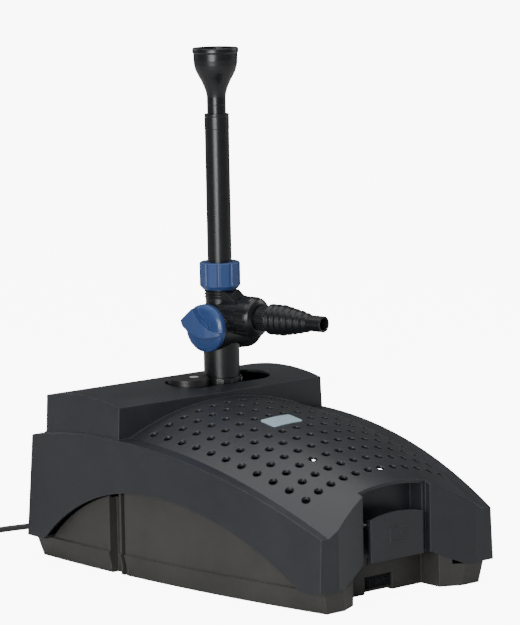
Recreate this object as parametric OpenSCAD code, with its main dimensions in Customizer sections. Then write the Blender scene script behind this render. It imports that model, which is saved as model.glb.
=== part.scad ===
// Submersible pond-filter pump with a fountain riser and a regulated side outlet.
// Front (latch side) faces -Y, +Z is up, the origin is under the middle of the tray.

/* [Housing] */
// Length of the housing from front to rear
body_l = 420; // [390:1:450]
// Width over the cover's lower edge at its widest
rear_w = 287; // [270:1:310]
// Width over the cover's lower edge at the front
front_w = 225; // [210:1:235]
// Height of the cover's lower edge above the ground
cover_z = 22; // [20:1:26]
// Height of the cover's side edge at its crest
side_h = 137.5; // [130:0.5:150]
// Height that the perforated crown rises above the side strips
crown_rise = 26; // [20:1:30]
// Wall thickness of cover and tray
wall = 3; // [2.4:0.1:4]
// Width of the plain strip beside the crown
strip_w = 20; // [14:1:26]

/* [Handle bar] */
// Height of the handle bar's crest above the cover's side edge
bar_rise = 38; // [34:0.5:46]
// Depth of the bar from front to rear
bar_d = 119; // [112:1:126]
// How far the opening in the bar's top reaches to the right of the outlet
bar_slot_reach = 59; // [52:1:66]
// Air between the opening's edge and the fittings that stand in it
bar_slot_gap = 3; // [2:0.5:4]

/* [Inlet holes] */
// Diameter of one inlet hole
hole_d = 8.6; // [5:0.2:10]
// Rows of holes from rear to front
hole_rows = 11; // [6:1:11]
// Columns of holes across the crown
hole_cols = 12; // [6:2:12]
// Distance between rows
hole_pitch = 20.6; // [16:0.2:20.6]

/* [Outlet tee] */
// Sideways position of the outlet
riser_x = 34; // [28:1:36]
// Position of the outlet along the housing
riser_y = 105; // [102:1:108]
// Angle that the tee is turned on its socket at rest
tee_turn = 10; // [0:1:30]
// Outer diameter of the tee's foot pipe
foot_pipe_d = 37; // [35:0.5:38]
// Outer diameter of the valve barrel
barrel_d = 48; // [44:1:50]
// Height of the valve barrel's axis above the tee's foot
barrel_rise = 59.5; // [56:0.5:70]
// Wall of the threaded outlets round the riser tube, with the thread
thread_wall = 4.2; // [3.6:0.1:5]
// Wall of the two union nuts
nut_wall = 4.1; // [3.4:0.1:6]

/* [Fountain riser] */
// Outer diameter of the fixed riser tube
riser_d = 24.8; // [24:0.2:26]
// Air between the telescopic tube and the riser tube round it
inner_tube_gap = 1.2; // [1:0.1:2]
// Height of the nozzle's rim above the tee's foot
nozzle_rise = 343.5; // [325:0.5:395]
// Largest diameter of the bell nozzle
nozzle_d = 47; // [40:1:56]
// How far the telescopic tube can be drawn out
telescope_travel = 100; // [60:5:110]

/* [Hose adapter] */
// Crest diameter of the largest hose step
hose_large_d = 31.5; // [29:0.5:33]
// Crest diameter of the middle hose step
hose_middle_d = 23.5; // [22:0.5:25]
// Diameter of the smallest hose step
hose_small_d = 16.4; // [15:0.2:17]

/* [Pump] */
// Diameter of the pump impeller
impeller_d = 52; // [46:1:54]
// Outer diameter of the motor housing
motor_d = 64; // [60:1:66]
// Diameter of the magnet rotor
rotor_d = 25; // [22:0.5:26]

/* [Clarifier] */
// Outer diameter of the ultraviolet clarifier
uvc_d = 42; // [40:1:42.4]
// How far the clarifier's head stands out of the bar
uvc_head_rise = 4.5; // [2:0.5:8]

/* [Cord] */
// Outer diameter of the mains cord
cord_d = 6.5; // [5.5:0.1:7]
// Number of turns lying side by side in the stored coil
coil_across = 5; // [4:1:6]
// Number of layers in the stored coil
coil_layers = 6; // [4:1:7]
// Radius of the coil at the middle of its turns
coil_r = 51.5; // [46:0.5:58]

/* [Hidden] */

// colours
c_cover = "#3d4045";
c_tray = "#62635d";
c_black = "#2b2c2e";
c_blue = "#2f5c96";
c_steel = "#b9bcc0";
c_rubber = "#1d1e20";
c_copper = "#b06a3a";
c_white = "#e6e8e6";

// clearances
run_gap = 0.08;    // radial clearance of a running fit
seat_gap = 0.3;    // air between parts that only lie near each other
free_gap = 0.5;    // air beside parts that slide past each other

// housing outline
widest_y = 119;
cover_lean = 0.05;
rear_lean = 0.055;
half_l = body_l / 2;
flank_run = half_l + widest_y;
flank_drop = (rear_w - front_w) / 2;
flank_r = (flank_run * flank_run + flank_drop * flank_drop) / (2 * flank_drop);
crest_y = 80;
front_top_z = 73.5;
side_run = half_l + crest_y;
side_fall = side_h - front_top_z;
side_r = (side_run * side_run + side_fall * side_fall) / (2 * side_fall);
crown_r = side_r + crown_rise;
crown_tilt = 10.2;      // the crown's axis of revolution climbs to the front
crown_axis_y = 63;
crown_axis_z = side_h - 259.5;
sky = 300;

// front end
face_x = front_w / 2 - strip_w - 4;   // half width of the recessed nose, at the face
nose_x = 43.5;                        // half width of the latch pocket's outside
nose_d = 15.4;                        // how far the nose stands back from the face
pocket_x = 39;
pocket_y = -half_l + 39;              // rear wall of the latch pocket
hood_y = -half_l + 22;                // front edge of the hood over the latch
pocket_z = 37;

// side arch
arch_y = 20;
arch_h = side_h - 49;
arch_rear_y = half_l - 29;
arch_front_y = -half_l + 24;

// bar
bar_h = side_h + bar_rise;
bar_y = 64;
bar_edge_drop = 6.5;
bar_r = (bar_d * bar_d / 4 + bar_edge_drop * bar_edge_drop) / (2 * bar_edge_drop);
bar_mid_y = bar_y + bar_d / 2;
bar_inset = 3;

// foot of the tee
foot_z = bar_h - 5.5;
foot_r = foot_pipe_d / 2;
ring_r = foot_r + 1.6;
flange_z = 4;
outlet_pipe_top = foot_z - 1.5;

// label
label_x = -9;
label_y = -38;
label_w = 38;
label_d = 22;
label_t = 0.8;

// tray
tray_inset = 9.5;       // at the top of the lower band
tray_lean = 5.2;        // the band draws in this much towards the ground
arch_inset = 11.5;
tray_front_y = -half_l + 4.5;
tray_rear_y = half_l - 2;
bay_x = 56;             // half width of the bay behind the latch
bay_y = -half_l + 43;
bay_nose_y = -half_l + 17;
tray_face_x = 80;
bay_wall_h = 36;
notch_x = 18;
notch_h = 17;
groove_y = 61;
groove_w = 24;
groove_d = 7;

// latch
latch_w = 68;
latch_h = 41.5;
latch_t = 3.5;
latch_z = pocket_z + 0.6;
latch_y = -half_l + 15;
latch_pin_d = 4;
latch_pin_y = latch_y + 12;
latch_pin_z = latch_z + 35;

// pump
pump_z = 60;
pump_y = riser_y - impeller_d / 2 - 1;
chamber_r = impeller_d / 2 + 4.5;
pump_flange_r = max(chamber_r + 4.5, motor_d / 2 + 3);

// filter
screen_y = pump_y - pump_flange_r - 5.8;
screen_t = 2.6;
screen_w = rear_w - 59;
screen_h = side_h - 53.5;
foam_w = front_w - 45;
foam_h = (side_h - 65.5) / 2;
foam_y1 = screen_y - 15.2;
coarse_y0 = -half_l + 54;
fine_y0 = coarse_y0 + 30;

// pump, along its axis
chamber_x0 = riser_x - 13;
chamber_x1 = riser_x + 13;
outlet_r = 10;
motor_l = rear_w / 2 - 30.5 - chamber_x1;
motor_x1 = chamber_x1 + motor_l;
well_r = rotor_d / 2 + 1.3;
shaft_r = 2;
eye_r = 10;
elbow_x = chamber_x0 - 13;
screw_circle = pump_flange_r + 2;
lead_x = 100;
lead_z = 40;

// clarifier
uvc_r = uvc_d / 2;
uvc_x = riser_x - uvc_r - ring_r - 2.4;
uvc_y = riser_y + 2;
uvc_z0 = 8;
uvc_top_z = bar_h + uvc_head_rise;
uvc_head_z = uvc_top_z - 20;
socket_z0 = uvc_head_z - 26;
lamp_z0 = 32;
sleeve_r = 12.5;

// opening in the bar's top
bar_slot_w = 2 * (max(uvc_r, ring_r + 0.9) + bar_slot_gap);
bar_slot_x0 = uvc_x - uvc_r - bar_slot_gap + 0.5;
bar_slot_x1 = riser_x + bar_slot_reach;

// tee
barrel_z = foot_z + barrel_rise;
barrel_r = barrel_d / 2;
barrel_x0 = -foot_r - 1;
barrel_x1 = foot_r + 17.5;
barrel_end_r = barrel_r + 3;
plug_r = barrel_r - 6.6;
plug_l = 2 * foot_r + 2.5;
outlet_z = barrel_z + 11.5;
spigot_top = barrel_z + 58.5;
socket_z = barrel_z + 32.5;
thread_r = riser_d / 2 + thread_wall;
nut_r = thread_r + seat_gap + nut_wall;
thread_root_r = thread_r - 1.3;
thread_step = 2.9;
neck_r = nut_r - 1.8;
branch_l = 46;
port_r = 8;

// riser
nozzle_top_z = foot_z + nozzle_rise;
nut_z0 = spigot_top - 20.5;
nut_z1 = nut_z0 + 27.8;
tube_wall = 1.6;
riser_r = riser_d / 2;
inner_r = riser_r - tube_wall - inner_tube_gap;
collar_top_z = nozzle_top_z - 67;
collar_z = collar_top_z - 15.3;
tube_top_z = nozzle_top_z - 58;
inner_tube_z0 = tube_top_z - telescope_travel - 50;

// side outlet
side_nut_y0 = 33;
side_nut_y1 = 53;
adapter_end = 135;
adapter_r = 12.2;
rib_y0 = 67;
rib_step = 7.4;

// cord
gland_x = lead_x;
gland_z = 11.5;
gland_y = tray_rear_y + 5;
gland_l = 34;
cord_r = cord_d / 2;
gland_r = cord_r + 2.25;
tie_t = 1.2;
coil_x = -160;
coil_y = 384;
coil_half_w = coil_across * cord_d / 2;
coil_h = coil_layers * cord_d;
plug_z = tie_t + coil_h;
// route of the free cord, from the strain relief to the coil
cord_route = [
    [gland_x, gland_y - 6, gland_z], [gland_x, 224, gland_z], [gland_x, 243, gland_z], [100, 250, 11], [99, 258, 9.8], [96, 266, 8], [91, 274, 6],
    [84, 281, 4.6], [75, 287, 3.7], [65, 292, 3.4], [53, 297, 3.3], [40, 301, 3.3],
    [24, 305, 3.3], [8, 308, 3.3], [-10, 310, 3.3], [-28, 312, 3.3], [-46, 313, 3.3],
    [-64, 316, 3.3], [-82, 320, 3.3], [-100, 322.5, 3.3], [-118, 321.5, 3.5], [-134, 317.2, 3.9],
    [-148, 313.9, 4.3], [-160, 312.7, 4.45]
];
// route of the motor's lead inside the housing
lead_route = [
    [lead_x, 112, lead_z], [100, 122, 39], [100, 134, 34], [100, 148, 26],
    [100, 164, 18], [100, 178, 13], [100, 190, 11.7], [lead_x, gland_y - 7, gland_z]
];
// route of the lamp's lead from the clarifier to the motor
lead_r = 2.5;
lamp_route = [
    [uvc_x, uvc_y + uvc_r + 0.2, uvc_head_z - 20], [uvc_x, 137, 138], [-7, 146, 128], [4, 150, 110],
    [22, 149, 90], [40, 142, 72], [54, 130, 62.5], [60, pump_y + motor_d / 2 + 9, pump_z],
    [60, pump_y + motor_d / 2 + 0.2, pump_z]
];

// ---------------------------------------------------------------- helpers

// a profile drawn in (y, z), extruded across x
module across(width) {
    rotate([90, 0, 90]) linear_extrude(width, center = true) children();
}

// a profile drawn in (radius, length), turned about the X axis towards +X
module turned_x() {
    rotate([0, 90, 0]) rotate_extrude($fn = 96) children();
}

module rod(r, h, fn = 96) {
    cylinder(r = r, h = h, $fn = fn);
}

module tube(r_out, r_in, h, fn = 96) {
    difference() {
        rod(r_out, h, fn);
        translate([0, 0, -1]) rod(r_in, h + 2, fn);
    }
}

// an O-ring lying in the XY plane
module o_ring(r_mid, r_cord) {
    rotate_extrude($fn = 72) translate([r_mid, 0]) circle(r = r_cord, $fn = 24);
}

module obround(length, width, h) {
    run = (length - width) / 2;
    for (s = [-1, 1]) translate([s * run, 0, 0]) rod(width / 2, h, 72);
    translate([-run, -width / 2, 0]) cube([2 * run, width, h]);
}

module rounded_block(w, d, h, r) {
    linear_extrude(h) union() {
        square([w - 2 * r, d], center = true);
        square([w, d - 2 * r], center = true);
        for (sx = [-1, 1], sy = [-1, 1])
            translate([sx * (w / 2 - r), sy * (d / 2 - r)]) circle(r = r, $fn = 32);
    }
}

module at_riser() { translate([riser_x, riser_y, 0]) children(); }
module at_tee() { at_riser() rotate([0, 0, tee_turn]) children(); }
module at_pump() { translate([0, pump_y, pump_z]) rotate([0, 90, 0]) children(); }
module at_uvc() { translate([uvc_x, uvc_y, 0]) children(); }
// along the side outlet: local Z runs out of the branch
module at_branch() { at_tee() translate([0, 0, outlet_z]) rotate([90, 0, 0]) children(); }
// along the valve barrel: local Z runs away from the knob
module at_barrel() { at_tee() translate([0, 0, barrel_z]) rotate([0, 90, 0]) children(); }

// a swept round tube along a list of points
function minus(a, b) = [a[0] - b[0], a[1] - b[1], a[2] - b[2]];
function path_dir(p, i) =
    let (a = p[max(i - 1, 0)], b = p[min(i + 1, len(p) - 1)], d = minus(b, a)) d / norm(d);
function smooth_point(a, b, c, d, t) =
    0.5 * (2 * b + (c - a) * t + (2 * a - 5 * b + 4 * c - d) * t * t
           + (3 * b - a - 3 * c + d) * t * t * t);
function smooth_path(p, n) = [
    for (i = [0 : len(p) - 2], k = [0 : n - 1])
        smooth_point(p[max(i - 1, 0)], p[i], p[i + 1], p[min(i + 2, len(p) - 1)], k / n),
    p[len(p) - 1]
];
function ring_points(c, dir, r, sides) =
    let (side = cross(dir, [0, 0, 1]) / norm(cross(dir, [0, 0, 1])), up = cross(side, dir))
    [for (k = [0 : sides - 1]) let (a = 360 * k / sides) c + r * (cos(a) * side + sin(a) * up)];

module swept_tube(path, r, sides) {
    n = len(path);
    points = [for (i = [0 : n - 1]) each ring_points(path[i], path_dir(path, i), r, sides)];
    faces = concat(
        [[for (k = [0 : sides - 1]) k]],
        [[for (k = [sides - 1 : -1 : 0]) (n - 1) * sides + k]],
        [for (i = [0 : n - 2], k = [0 : sides - 1])
            let (a = i * sides + k, b = i * sides + (k + 1) % sides)
            each [[a, a + sides, b], [b, a + sides, b + sides]]]
    );
    polyhedron(points = points, faces = faces);
}

// ---------------------------------------------------------------- housing outline

// space between the two bowed flanks, inset by t at z0 and by t + lean at z0 + h
module between_flanks(t, z0, h, lean) {
    intersection_for (s = [-1, 1])
        translate([s * (flank_r - rear_w / 2), widest_y, z0])
            cylinder(r1 = flank_r - t, r2 = flank_r - t - lean, h = h, $fn = 720);
}

// side view of the cover without its crown
module cover_side(t) {
    intersection() {
        translate([crest_y, side_h - side_r]) circle(r = side_r - t, $fn = 720);
        translate([-half_l + t, -50]) square([body_l - 2 * t, sky]);
    }
}

// length limits, with the leaning rear wall
module cover_ends(t) {
    lean = rear_lean * (sky - cover_z);
    polygon([
        [-half_l + t, -50], [half_l - t, -50], [half_l - t, cover_z],
        [half_l - t - lean, sky], [-half_l + t, sky]
    ]);
}

module crown(t) {
    dy = crest_y - crown_axis_y;
    dz = side_h + crown_rise - crown_r - crown_axis_z;
    along = -dy * cos(crown_tilt) + dz * sin(crown_tilt);
    off = dy * sin(crown_tilt) + dz * cos(crown_tilt);
    translate([0, crown_axis_y, crown_axis_z])
        rotate([90 - crown_tilt, 0, 0])
            rotate_extrude($fn = 360)
                intersection() {
                    translate([off, along]) circle(r = crown_r - t, $fn = 720);
                    translate([0, -half_l]) square([sky, body_l * 1.4]);
                }
}

// plan of the cover's front end
module nose_plan(t) {
    polygon([
        [-rear_w, half_l + 10], [-rear_w, -half_l + t], [-face_x - 0.2 * t, -half_l + t],
        [-nose_x, -half_l + nose_d + t], [nose_x, -half_l + nose_d + t],
        [face_x + 0.2 * t, -half_l + t], [rear_w, -half_l + t], [rear_w, half_l + 10]
    ]);
}

module cover_form(t) {
    intersection() {
        between_flanks(t, cover_z, 160, cover_lean * 160);
        across(2 * rear_w) cover_ends(t);
        linear_extrude(sky) nose_plan(t);
        union() {
            across(2 * rear_w) cover_side(t);
            crown(t);
        }
    }
}

module bar_form(t) {
    intersection() {
        between_flanks(bar_inset + t, cover_z, 160, cover_lean * 160);
        across(2 * rear_w) intersection() {
            translate([bar_mid_y, bar_h - bar_r]) circle(r = bar_r - t, $fn = 360);
            translate([bar_y + t, side_h - 16]) square([bar_d - 2 * t, 90]);
        }
    }
}

// side arch, drawn in (y, z); gap shrinks it
module arch_profile(gap = 0) {
    rise = arch_h - cover_z;
    rear_run = arch_rear_y - arch_y;
    front_run = arch_y - arch_front_y;
    rear_r = (rear_run * rear_run + rise * rise) / (2 * rise);
    front_r = (front_run * front_run + rise * rise) / (2 * rise);
    intersection() {
        translate([arch_y, arch_h - rear_r]) circle(r = rear_r - gap, $fn = 360);
        translate([arch_y, 0]) square([half_l, sky]);
    }
    intersection() {
        translate([arch_y, arch_h - front_r]) circle(r = front_r - gap, $fn = 360);
        translate([arch_y - body_l, 0]) square([body_l, sky]);
    }
}

function side_z(y) = side_h - side_r + sqrt(side_r * side_r - (y - crest_y) * (y - crest_y));
function half_w(y) =
    rear_w / 2 - flank_r + sqrt(flank_r * flank_r - (y - widest_y) * (y - widest_y));
function hole_y(row) = bar_y - 21 - row * hole_pitch;
function hole_x(col, y) = (col - (hole_cols - 1) / 2) * (half_w(y) - strip_w) / (hole_cols / 2 + 0.35);
function under_label(x, y) =
    abs(x - label_x) < (label_w + hole_d) / 2 && abs(y - label_y) < (label_d + hole_d) / 2;

// ---------------------------------------------------------------- cover

module inlet_holes() {
    for (row = [0 : hole_rows - 1], col = [0 : hole_cols - 1]) {
        y = hole_y(row);
        x = hole_x(col, y);
        if (!under_label(x, y))
            translate([x, y, side_z(y) - 3]) cylinder(d = hole_d, h = 40, $fn = 24);
    }
}

module latch_pocket_walls() {
    translate([-nose_x - wall, -half_l, cover_z]) cube([2 * (nose_x + wall), pocket_y + wall + half_l, sky]);
}

module latch_pocket_space() {
    // under the hood
    intersection() {
        translate([-pocket_x, -half_l - 1, 0]) cube([2 * pocket_x, pocket_y + half_l + 1, sky]);
        crown(wall);
    }
    // in front of the hood
    translate([-nose_x, -half_l - 1, 0]) cube([2 * nose_x, hood_y + half_l + 1, sky]);
    // the pocket's walls stop short of the ground
    translate([-nose_x - wall - 1, -half_l - 1, 0]) cube([2 * (nose_x + wall) + 2, pocket_y + 5 + half_l, pocket_z]);
    // slanted lower edges of the nose
    rotate([90, 0, 0]) translate([0, 0, half_l - 45]) linear_extrude(46)
        polygon([[-face_x + 10, 0], [-face_x + 10, cover_z], [-nose_x, pocket_z],
                 [nose_x, pocket_z], [face_x - 10, cover_z], [face_x - 10, 0]]);
}

module cover_rim() {
    difference() {
        cover_form(0.5);
        cover_form(tray_inset + 5);
        translate([-rear_w, -body_l, cover_z + 3]) cube([2 * rear_w, 2 * body_l, sky]);
    }
}

module latch_pin_bore() {
    translate([-nose_x - 1, latch_pin_y, latch_pin_z]) rotate([0, 90, 0])
        rod(latch_pin_d / 2, 2 * nose_x + 2, 48);
}

module filter_cover() {
    color(c_cover) difference() {
        union() {
            difference() {
                union() {
                    cover_form(0);
                    bar_form(0);
                }
                difference() {
                    union() {
                        cover_form(wall);
                        bar_form(wall);
                        translate([-rear_w, -body_l, -1]) cube([2 * rear_w, 2 * body_l, cover_z + 1]);
                    }
                    latch_pocket_walls();
                }
            }
            cover_rim();
        }
        latch_pocket_space();
        latch_pin_bore();
        inlet_holes();
        for (s = [-1, 1]) translate([s * rear_w / 2, 0, 0])
            across(rear_w - front_w + 28) arch_profile();
        translate([(bar_slot_x0 + bar_slot_x1) / 2, uvc_y, side_h])
            obround(bar_slot_x1 - bar_slot_x0, bar_slot_w, 60);
    }
}

module name_plate() {
    color("#c9d6dc") intersection() {
        translate([label_x, label_y, 100]) rounded_block(label_w, label_d, 100, 3);
        difference() {
            crown(-label_t);
            crown(-0.05);
        }
    }
}

module latch_clip() {
    side_z1 = latch_z + latch_h;
    top_r = 134;
    color(c_cover) difference() {
        union() {
            // plate with a bowed top edge
            intersection() {
                translate([-latch_w / 2, latch_y, latch_z]) cube([latch_w, latch_t, latch_h + 6]);
                translate([0, latch_y - 1, side_z1 + 4.5 - top_r]) rotate([-90, 0, 0])
                    rod(top_r, latch_t + 2, 180);
            }
            // raised square to press on
            translate([-10, latch_y - 0.7, latch_z + 16]) difference() {
                cube([20, 1.2, 15]);
                translate([1.6, -1, 1.6]) cube([16.8, 1.4, 11.8]);
            }
            // hinge knuckle
            translate([-30, latch_y + latch_t - 0.5, latch_pin_z - 4.5])
                cube([60, latch_pin_y - latch_y - latch_t + 0.5, 9]);
            translate([-30, latch_pin_y, latch_pin_z]) rotate([0, 90, 0]) rod(4.5, 60, 48);
            // hook towards the tray's catch
            translate([-12, latch_y + latch_t - 0.5, latch_z]) cube([24, 20, 3]);
        }
        translate([-latch_w, latch_pin_y, latch_pin_z]) rotate([0, 90, 0])
            rod(latch_pin_d / 2 + run_gap, 2 * latch_w, 48);
    }
}

module latch_pin() {
    color(c_steel) translate([-nose_x + 0.5, latch_pin_y, latch_pin_z]) rotate([0, 90, 0])
        rod(latch_pin_d / 2, 2 * nose_x - 1, 48);
}

// ---------------------------------------------------------------- tray

module tray_ends(t) {
    polygon([
        [tray_front_y + 2 + t, t], [tray_rear_y - 6 - t, t],
        [tray_rear_y - t, cover_z + 0.01], [tray_front_y + t, cover_z + 0.01]
    ]);
}

module tray_plan(t) {
    polygon([
        [-rear_w, half_l], [-rear_w, -half_l], [-tray_face_x - 0.2 * t, -half_l],
        [-tray_face_x - 0.2 * t, tray_front_y + t], [-bay_x - t, bay_nose_y + t],
        [-bay_x - t, bay_y + t], [bay_x + t, bay_y + t], [bay_x + t, bay_nose_y + t],
        [tray_face_x + 0.2 * t, tray_front_y + t], [tray_face_x + 0.2 * t, -half_l],
        [rear_w, -half_l], [rear_w, half_l]
    ]);
}

module tray_band(t) {
    intersection() {
        between_flanks(tray_inset + tray_lean + t, 0, cover_z, -tray_lean);
        across(2 * rear_w) tray_ends(t);
        linear_extrude(cover_z) tray_plan(t);
    }
}

module tray_side_walls() {
    intersection() {
        difference() {
            between_flanks(arch_inset, cover_z - 4, 80, 0);
            between_flanks(arch_inset + wall, cover_z - 5, 90, 0);
        }
        across(2 * rear_w) arch_profile(seat_gap + 0.1);
        translate([-rear_w, -half_l, cover_z - 4]) cube([2 * rear_w, body_l, sky]);
    }
}

// a guide channel with a thin rib, let into each side wall
module channel_block() {
    intersection() {
        difference() {
            between_flanks(arch_inset + 1, 0, 90, 0);
            between_flanks(arch_inset + groove_d + wall + 3, -1, 92, 0);
        }
        across(2 * rear_w) intersection() {
            arch_profile(2.5);
            translate([groove_y - wall, 1]) square([groove_w + 2 * wall, sky]);
        }
    }
}

module channel_space() {
    difference() {
        translate([-rear_w, groove_y, -1]) cube([2 * rear_w, groove_w, 120]);
        between_flanks(arch_inset + groove_d + 3, -2, 130, 0);
        translate([-rear_w, groove_y + 6, -2]) cube([2 * rear_w, 2.4, 130]);
    }
}

module motor_saddles() {
    for (x = [chamber_x1 + 18, motor_x1 - 30])
        difference() {
            translate([x - 4, pump_y - motor_d / 2, wall - 0.5]) cube([8, motor_d, 38]);
            translate([x - 10, pump_y, pump_z]) rotate([0, 90, 0]) rod(motor_d / 2 + seat_gap, 20);
        }
}

// side of the bay, raised behind the slanted lower edge of the cover's nose
module bay_upstand() {
    x1 = bay_x + (tray_face_x - bay_x) / 2;
    y1 = bay_nose_y + (tray_front_y - bay_nose_y) / 2;
    translate([0, 0, 1]) linear_extrude(bay_wall_h - 1) polygon([
        [bay_x, bay_y + wall], [bay_x, bay_nose_y], [x1, y1], [x1, y1 + wall],
        [bay_x + wall, bay_nose_y + wall], [bay_x + wall, bay_y + wall]
    ]);
}

module filter_tray() {
    color(c_tray) difference() {
        union() {
            difference() {
                tray_band(0);
                translate([0, 0, 0.01]) tray_band(wall);
            }
            tray_side_walls();
            channel_block();
            // wall behind the latch, with the lip that the latch's hook faces
            translate([-bay_x - wall, bay_y, 1]) cube([2 * (bay_x + wall), wall, bay_wall_h - 1]);
            translate([-14, bay_y - 1.5, bay_wall_h - 7]) cube([28, 3, 7]);
            for (s = [0, 1]) mirror([s, 0, 0]) bay_upstand();
            motor_saddles();
            // seat of the clarifier
            at_uvc() translate([0, 0, wall - 0.5]) rod(uvc_r + 3, uvc_z0 - wall + 0.5);
            // guides that hold the screen plate
            for (s = [-1, 1], y = [screen_y - 3.5, screen_y + screen_t + 1.1])
                translate([s * (screen_w / 2 - 2) - 4, y, wall - 0.5]) cube([8, 2.4, 40]);
        }
        channel_space();
        translate([-notch_x, bay_y - 5, -1]) cube([2 * notch_x, wall + 10, notch_h + 1]);
        translate([gland_x, tray_rear_y - 20, gland_z]) rotate([-90, 0, 0]) rod(gland_r + 0.1, 40, 48);
    }
}

// ---------------------------------------------------------------- filter

module coarse_foam() {
    color("#33516e") translate([0, (coarse_y0 + foam_y1) / 2, wall + seat_gap])
        rounded_block(foam_w, foam_y1 - coarse_y0, foam_h, 12);
}

module fine_foam() {
    color("#2a2c30") translate([0, (fine_y0 + foam_y1) / 2, wall + foam_h + 3 * seat_gap])
        rounded_block(foam_w - 2, foam_y1 - fine_y0, foam_h, 12);
}

module screen_plate() {
    color(c_black) difference() {
        translate([-screen_w / 2, screen_y, wall + 0.1]) cube([screen_w, screen_t, screen_h]);
        for (i = [-6 : 6], k = [0 : 4])
            translate([i * 14 - 3.5, screen_y - 5, 14 + k * 14]) cube([7, screen_t + 10, 9]);
    }
}

// ---------------------------------------------------------------- pump

module motor_housing() {
    body_r = motor_d / 2;
    color(c_black) difference() {
        union() {
            at_pump() translate([0, 0, chamber_x1]) rod(body_r, motor_l);
            at_pump() translate([0, 0, chamber_x1]) rod(pump_flange_r, 6);
            at_screws() translate([0, 0, chamber_x1]) rod(5, 5.4, 36);
            translate([lead_x, pump_y, lead_z]) rotate([-90, 0, 0]) rod(6.5, 112 - pump_y, 48);
        }
        // rotor well, open to the chamber
        at_pump() translate([0, 0, chamber_x1 - 1]) rod(well_r, motor_l - 11);
        // space of the stator, closed all round
        at_pump() translate([0, 0, chamber_x1 + 8]) tube(body_r - 3, well_r + 2, motor_l - 14);
        at_screws() translate([0, 0, chamber_x1 - 1]) rod(1.6, 12, 24);
        translate([lead_x, pump_y + 20, lead_z]) rotate([-90, 0, 0]) rod(cord_r + 0.3, 60, 36);
    }
}

module rotate_about_pump(a) {
    translate([0, pump_y, pump_z]) rotate([a, 0, 0]) children();
}

// the three casing screws, with local Z along the pump's axis
module at_screws() {
    for (k = [0 : 2]) rotate_about_pump(15 + 120 * k)
        translate([0, 0, screw_circle]) rotate([0, 90, 0]) children();
}

module stator_core() {
    color(c_steel) at_pump() translate([0, 0, chamber_x1 + 20])
        tube(motor_d / 2 - 3.1, well_r + 2.1, motor_l - 40);
}

module stator_windings() {
    color(c_copper) for (x = [chamber_x1 + 11, motor_x1 - 20])
        at_pump() translate([0, 0, x]) tube(motor_d / 2 - 5, well_r + 4, 9);
}

module rear_bearing() {
    color(c_rubber) at_pump() translate([0, 0, motor_x1 - 19]) tube(well_r - 0.1, shaft_r, 7);
}

module rotor_shaft() {
    color(c_white) at_pump() translate([0, 0, chamber_x0 + 2.5])
        rod(shaft_r, motor_x1 - 12 - chamber_x0 - 2.5, 48);
}

module rotor_magnet() {
    color("#55585c") at_pump() translate([0, 0, chamber_x1 + 3]) tube(rotor_d / 2, 4.2, motor_l - 26);
}

module rotor_bushes() {
    color("#1f2022") for (x = [chamber_x1 + 3, motor_x1 - 31])
        at_pump() translate([0, 0, x]) tube(4.2, shaft_r + run_gap, 8);
}

module impeller() {
    x0 = chamber_x0 + 8;
    color(c_white) {
        difference() {
            union() {
                at_pump() translate([0, 0, x0 + 9]) rod(impeller_d / 2 - 1, 2);
                at_pump() translate([0, 0, x0]) rod(6, 11);
                at_pump() translate([0, 0, x0 + 10]) rod(8, chamber_x1 + 3 - x0 - 10);
                for (k = [0 : 5]) rotate_about_pump(60 * k)
                    translate([x0 + 1, 4, -1]) cube([9, impeller_d / 2 - 5, 2]);
            }
            at_pump() translate([0, 0, x0 - 5]) rod(shaft_r + run_gap, 40, 48);
        }
    }
}

module front_bearing() {
    color(c_rubber) at_pump() translate([0, 0, chamber_x0 + 2.5]) tube(4, shaft_r, 5);
}

module pump_chamber() {
    color(c_black) difference() {
        union() {
            at_pump() translate([0, 0, chamber_x0]) rod(chamber_r + 3, chamber_x1 - chamber_x0);
            at_pump() translate([0, 0, chamber_x1 - 5]) rod(pump_flange_r, 5);
            at_screws() translate([0, 0, chamber_x1 - 5.4]) rod(5, 5.1, 36);
            at_riser() translate([0, 0, pump_z - 4]) rod(outlet_r + 2.6, 49);
        }
        difference() {
            at_pump() translate([0, 0, chamber_x0 + wall]) rod(chamber_r, chamber_x1 - chamber_x0);
            // spider that carries the front bearing
            at_pump() translate([0, 0, chamber_x0]) rod(6, 7.6, 48);
            for (k = [0 : 2]) rotate_about_pump(120 * k)
                translate([chamber_x0, -1, 0]) cube([5, 2, eye_r + 4]);
        }
        difference() {
            at_pump() translate([0, 0, chamber_x0 - 1]) rod(eye_r, 6);
            at_pump() translate([0, 0, chamber_x0]) rod(6, 7.6, 48);
            for (k = [0 : 2]) rotate_about_pump(120 * k)
                translate([chamber_x0, -1, 0]) cube([5, 2, eye_r + 4]);
        }
        at_pump() translate([0, 0, chamber_x0 + 2.5]) rod(4, 20, 48);
        at_riser() translate([0, 0, pump_z]) rod(outlet_r, 60);
        at_screws() translate([0, 0, chamber_x1 - 8]) rod(2.2, 12, 24);
        // groove of the seal
        at_pump() translate([0, 0, chamber_x1 - 1.4]) tube(chamber_r + 2.6, chamber_r + 0.6, 3);
    }
}

module chamber_seal() {
    color(c_rubber) at_pump() translate([0, 0, chamber_x1 - 1.3]) tube(chamber_r + 2.5, chamber_r + 0.7, 1.3);
}

module chamber_screws() {
    color(c_steel) at_screws() translate([0, 0, chamber_x1 - 5.4]) {
        translate([0, 0, -2.45]) rod(3.1, 2.4, 36);
        translate([0, 0, -1]) rod(1.6, 11, 24);
    }
}

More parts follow.
